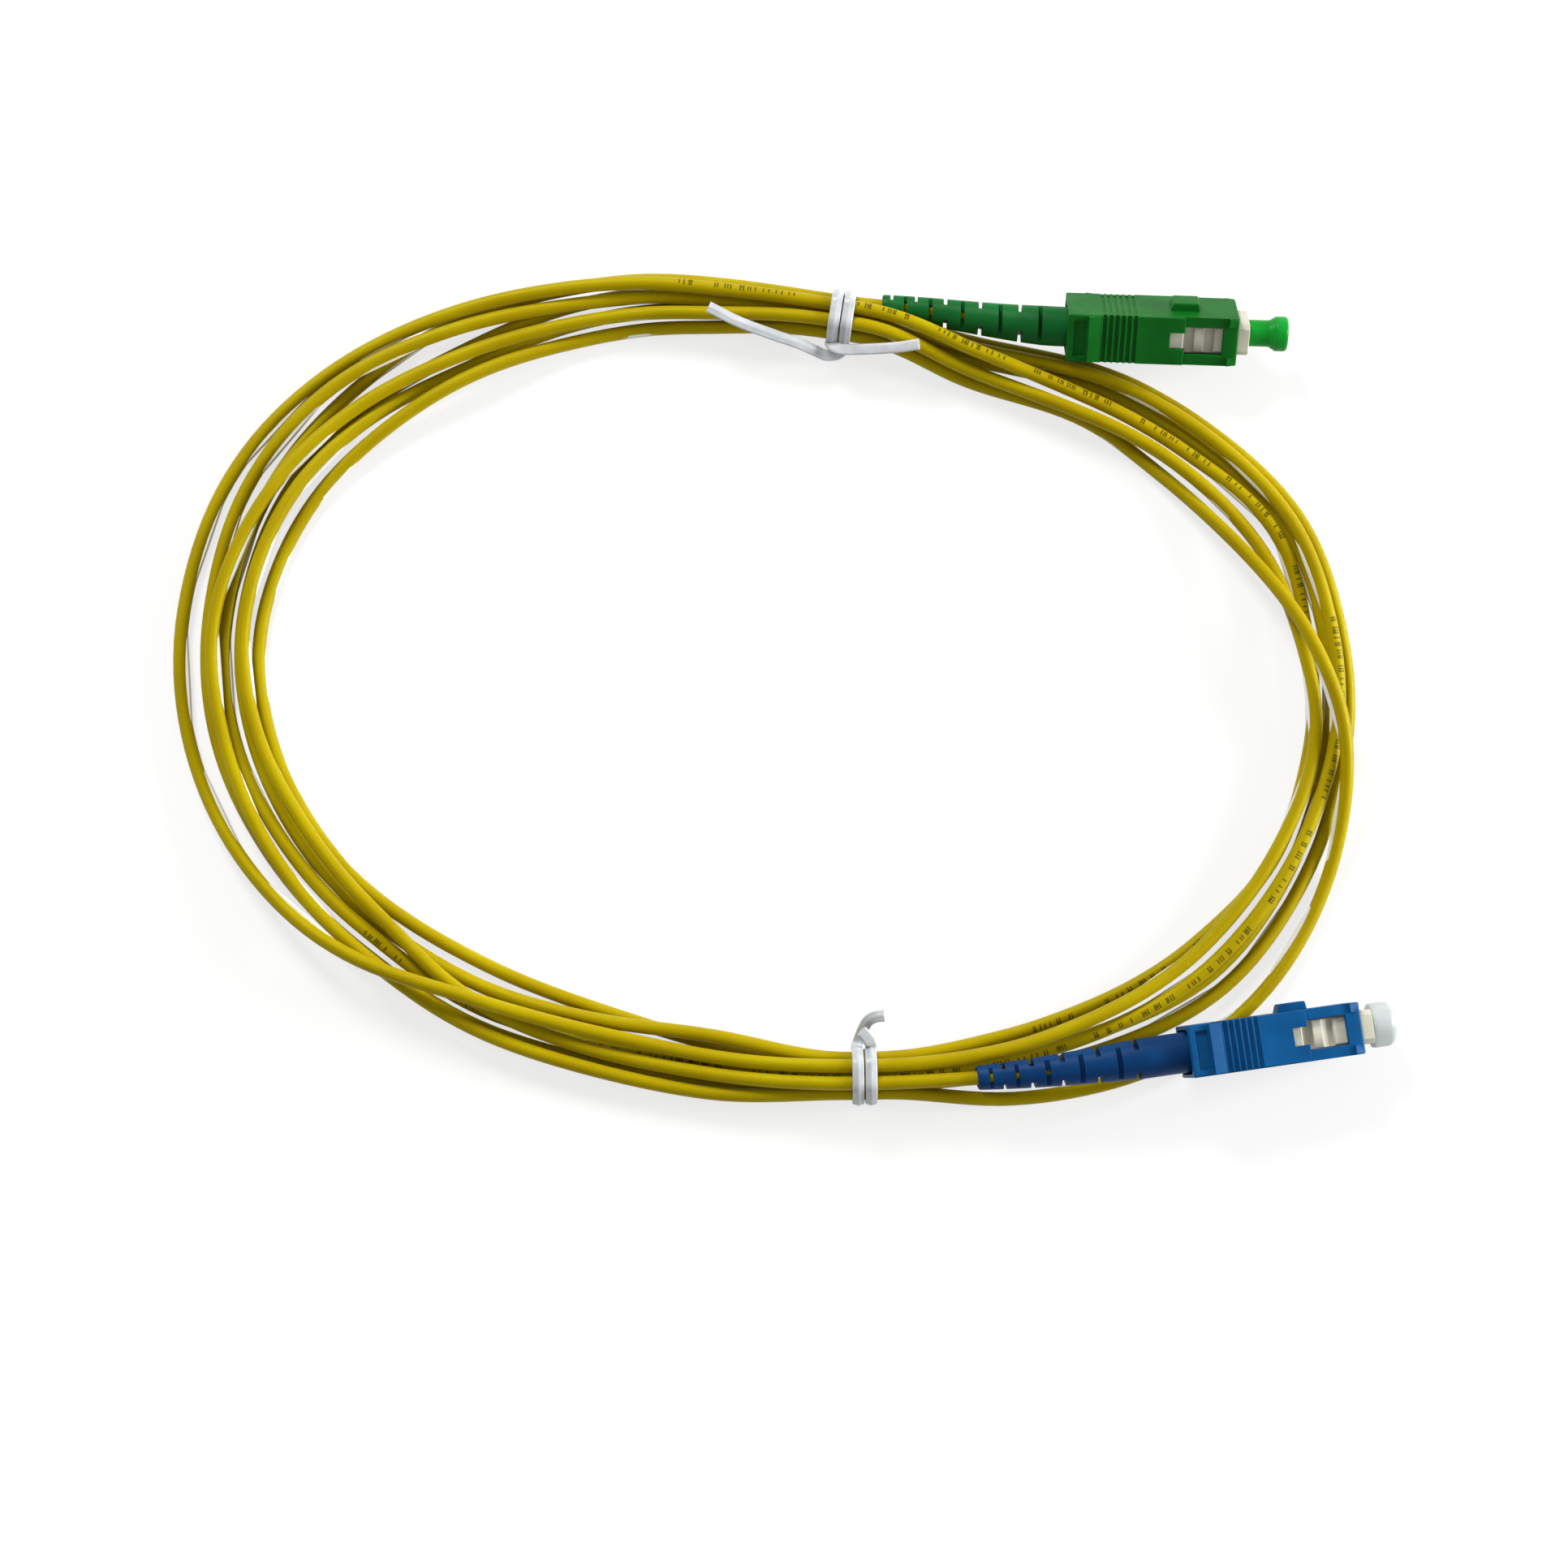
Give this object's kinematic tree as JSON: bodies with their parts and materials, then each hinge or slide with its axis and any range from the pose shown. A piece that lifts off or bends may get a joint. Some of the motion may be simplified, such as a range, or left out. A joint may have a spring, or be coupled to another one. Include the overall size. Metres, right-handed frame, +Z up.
{
  "type": "fibre optic patch cord",
  "caption": "Simplex single-mode fibre patch cord: yellow cord in an oval hank held by white twist ties, angled green SC connector to flat blue SC connector, dust caps on.",
  "frame": {"origin": "centre of the bounding box's footprint, on the surface that the hank lies on", "axes": "+X along the oval's long axis towards the connectors' mating ends, +Y towards the green connector's side, +Z up"},
  "size_m": [0.1768, 0.1228, 0.0121],
  "materials": {
    "blue_boot": "satin elastomer",
    "blue_grip": "satin moulded",
    "buffer_white": "smooth",
    "clear_cap": "milky translucent",
    "crimp_steel": "drawn",
    "frame_white": "satin moulded",
    "green_boot": "satin elastomer",
    "green_cap": "satin moulded",
    "green_grip": "satin moulded",
    "nickel": "nickel plated",
    "spring_steel": "bright wire",
    "tie_white": "satin",
    "yellow_pvc": "satin PVC",
    "zirconia": "polished"
  },
  "bodies": {
    "cord_and_plugs": {"apc_boot": "green_boot", "apc_crimp_ring": "crimp_steel", "apc_plug_frame": "frame_white", "apc_rear_body": "nickel", "apc_spring": "spring_steel", "bottom_twist_tie": "tie_white", "buffered_fibre": "buffer_white", "cord_jacket": "yellow_pvc", "top_twist_tie": "tie_white", "upc_boot": "blue_boot", "upc_crimp_ring": "crimp_steel", "upc_plug_frame": "frame_white", "upc_rear_body": "nickel", "upc_spring": "spring_steel"},
    "apc_grip": {"apc_grip_housing": "green_grip"},
    "apc_ferrule_set": {"apc_ferrule": "zirconia", "apc_ferrule_flange": "nickel"},
    "apc_cap": {"apc_dust_cap": "green_cap"},
    "upc_grip": {"upc_grip_housing": "blue_grip"},
    "upc_ferrule_set": {"upc_ferrule": "zirconia", "upc_ferrule_flange": "nickel"},
    "upc_cap": {"upc_dust_cap": "clear_cap"}
  },
  "joints": [
    {"name": "apc_grip_slide", "type": "slide", "parent": "cord_and_plugs", "child": "apc_grip", "axis": [-0.9994, 0.0349, 0], "range_m": [0, 0.0018]},
    {"name": "apc_ferrule_float", "type": "slide", "parent": "cord_and_plugs", "child": "apc_ferrule_set", "axis": [-0.9994, 0.0349, 0], "range_m": [0, 0.001], "stiffness_N_per_m": 2000, "springref_m": -0.004, "deforming": ["apc_spring"]},
    {"name": "apc_cap_pull", "type": "slide", "parent": "cord_and_plugs", "child": "apc_cap", "axis": [0.9994, -0.0349, 0], "range_m": [0, 0.012]},
    {"name": "upc_grip_slide", "type": "slide", "parent": "cord_and_plugs", "child": "upc_grip", "axis": [-0.9869, -0.1457, 0.0698], "range_m": [0, 0.0018]},
    {"name": "upc_ferrule_float", "type": "slide", "parent": "cord_and_plugs", "child": "upc_ferrule_set", "axis": [-0.9869, -0.1457, 0.0698], "range_m": [0, 0.001], "stiffness_N_per_m": 2000, "springref_m": -0.004, "deforming": ["upc_spring"]},
    {"name": "upc_cap_pull", "type": "slide", "parent": "cord_and_plugs", "child": "upc_cap", "axis": [0.9869, 0.1457, -0.0698], "range_m": [0, 0.012]}
  ]
}
